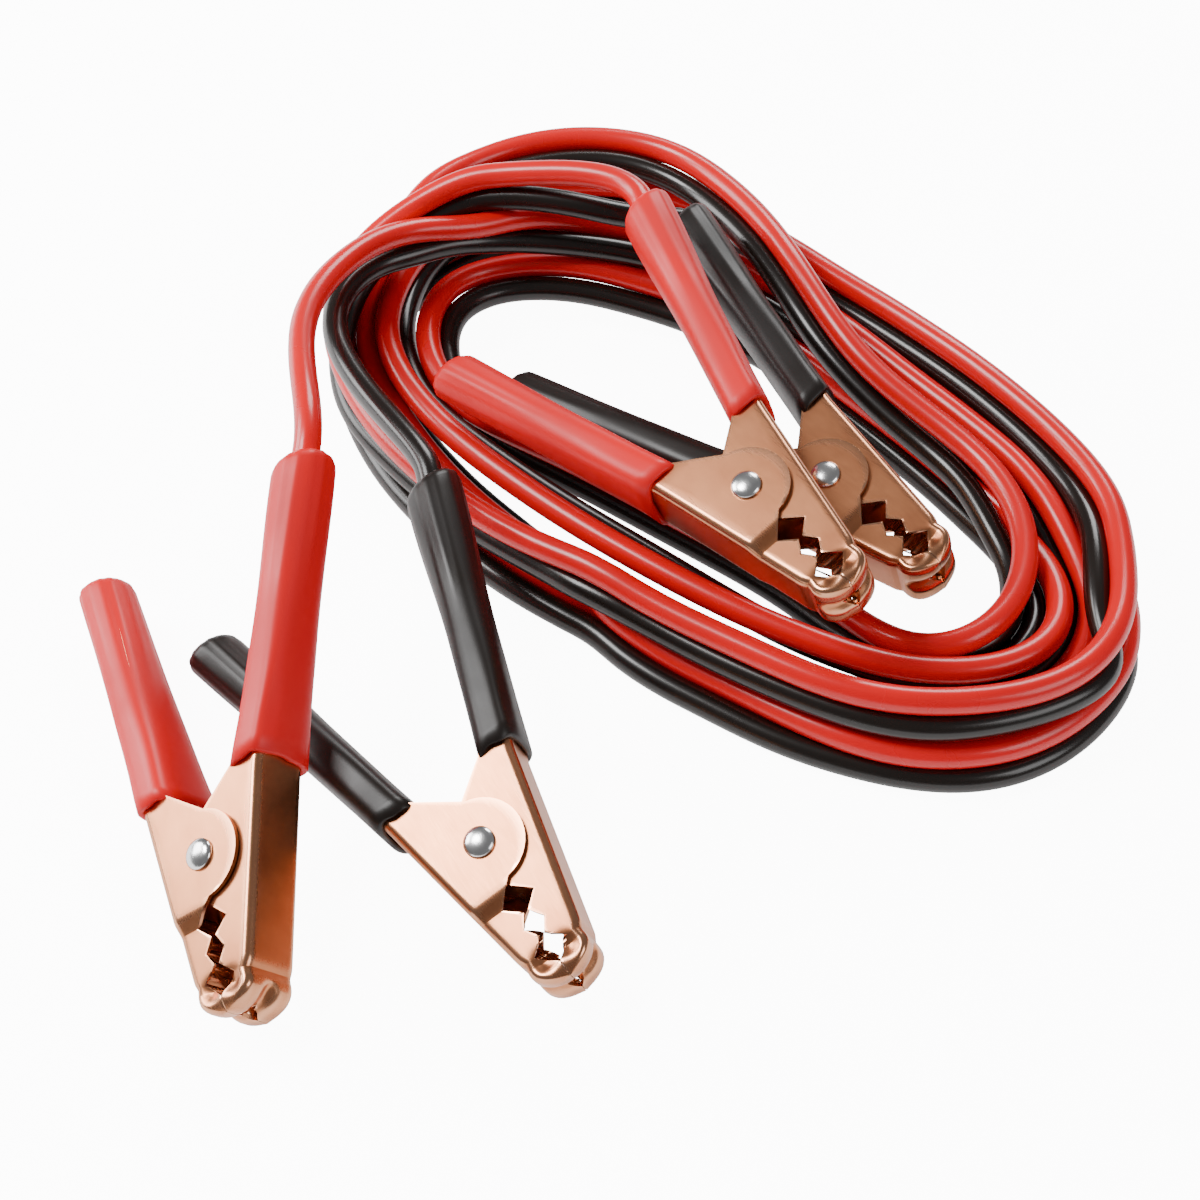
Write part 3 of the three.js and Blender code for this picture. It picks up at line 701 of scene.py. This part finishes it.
def make_spring():
    tilt = math.atan2(3, 4)
    rise = SPRING_PITCH * SPRING_TURNS
    spread = 2 * math.pi * SPRING_TURNS + 2 * tilt

    def leg(turn, height, side, length):
        start = Vector((SPRING_RADIUS * math.cos(turn), SPRING_RADIUS * math.sin(turn), height))
        return start + Vector((-math.sin(tilt), side * math.cos(tilt), 0)) * length

    line = [leg(-tilt, -rise / 2, -1, length) for length in (SPRING_LEG - 2, 8, 4, 2)]
    for k in range(97):
        turn = -tilt + spread * k / 96
        height = rise * (k / 96 - 0.5)
        line.append(Vector((SPRING_RADIUS * math.cos(turn), SPRING_RADIUS * math.sin(turn), height)))
    line += [leg(tilt, rise / 2, 1, length) for length in (2, 4, 8, SPRING_LEG)]
    rings = []
    for i, point in enumerate(line):
        along = (line[min(i + 1, len(line) - 1)] - line[max(i - 1, 0)]).normalized()
        across = along.cross(Vector((0, 0, 1))).normalized()
        up = across.cross(along)
        rings.append([
            point + (across * math.cos(t) + up * math.sin(t)) * SPRING_WIRE / 2
            for t in [math.pi / 5 * k for k in range(10)]
        ])
    return new_mesh("spring", rings, True, caps=True)


def add_piece(node, mesh, matrix, material, body):
    name = f"{node}_look"
    mesh = mesh.copy()
    mesh.name = name
    mesh.transform(Matrix.Scale(MM, 4))
    mesh.materials.clear()
    mesh.materials.append(material)
    piece = bpy.data.objects.new(name, mesh)
    piece.matrix_world = matrix
    bpy.context.collection.objects.link(piece)
    if body:
        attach(piece, body)
    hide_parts(node)
    return piece


def make_clamps(materials):
    shapes = {
        "cable_jaw": make_jaw(CABLE_SIDE),
        "free_jaw": make_jaw(FREE_SIDE),
        "rivet": make_rivet(),
        "spring": make_spring(),
    }
    for seed, (clamp, (colour, roll, pitch, yaw)) in enumerate(CLAMPS.items()):
        turn = Euler([math.radians(angle) for angle in (roll, pitch, yaw)], "XYZ").to_matrix().to_4x4()
        matrix = Matrix.Translation(pivot(clamp)) @ turn
        free_body = f"{clamp}_free_side"
        grips = {
            "cable_grip": make_grip(CABLE_SIDE, seed * 1.7),
            "free_grip": make_grip(FREE_SIDE, seed * 2.3 + 1),
        }
        for part, mesh in {**shapes, **grips}.items():
            body = free_body if part.startswith("free") else "cable_set"
            finish = {"cable_jaw": "copper", "free_jaw": "copper"}.get(part, part)
            slot = "jaw" if finish == "copper" else part
            if part.endswith("grip"):
                finish = slot = f"{colour}_grip"
            body = None if part == "spring" else body
            piece = add_piece(f"{clamp}_{part}", mesh, matrix, materials[finish], body)
            if part.endswith("jaw"):
                sheet_modifiers(piece)
            if part == "spring":
                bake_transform(piece)


# Stage


def make_stage():
    material = bpy.data.materials.new("floor")
    material.use_nodes = True
    principled = material.node_tree.nodes["Principled BSDF"]
    principled.inputs["Base Color"].default_value = (0.93, 0.93, 0.93, 1)
    principled.inputs["Roughness"].default_value = 0.7
    principled.inputs["Emission Color"].default_value = (1, 1, 1, 1)
    nodes, links = material.node_tree.nodes, material.node_tree.links
    seen = nodes.new("ShaderNodeLightPath").outputs["Is Camera Ray"]
    links.new(ramp(nodes, links, seen, 0, 1, 0.6, 11), principled.inputs["Emission Strength"])
    bpy.ops.mesh.primitive_plane_add(size=8)
    floor = bpy.context.object
    floor.name = "floor"
    floor.data.materials.append(material)
    world = bpy.data.worlds.new("studio")
    world.use_nodes = True
    world.node_tree.nodes["Background"].inputs["Color"].default_value = (1, 1, 1, 1)
    world.node_tree.nodes["Background"].inputs["Strength"].default_value = 0.2
    bpy.context.scene.world = world
    lights = (
        ("key", (-0.75, 0.15, 1.1), 0.45, 15),
        ("fill", (0.9, -0.6, 0.8), 0.6, 5),
        ("back", (0.3, 1.1, 0.8), 0.5, 9),
        ("left", (-1.1, 0.38, 0.5), 0.6, 14),
    )
    for name, place, size, power in lights:
        data = bpy.data.lights.new(name, "AREA")
        data.size = size
        data.energy = power
        light = bpy.data.objects.new(name, data)
        light.location = place
        light.rotation_euler = (-Vector(place)).to_track_quat("-Z", "Y").to_euler()
        bpy.context.collection.objects.link(light)


make_camera()
materials = make_materials()
red_line, black_line = settle([RED_ROUTE, BLACK_ROUTE])
for colour, line in (("red", red_line), ("black", black_line)):
    nodes = [f"{colour}_cable_hank", f"front_{colour}_tail", f"back_{colour}_tail"]
    make_cord(f"{colour}_conductor", line, materials[f"{colour}_cable"], nodes)
make_clamps(materials)
make_stage()
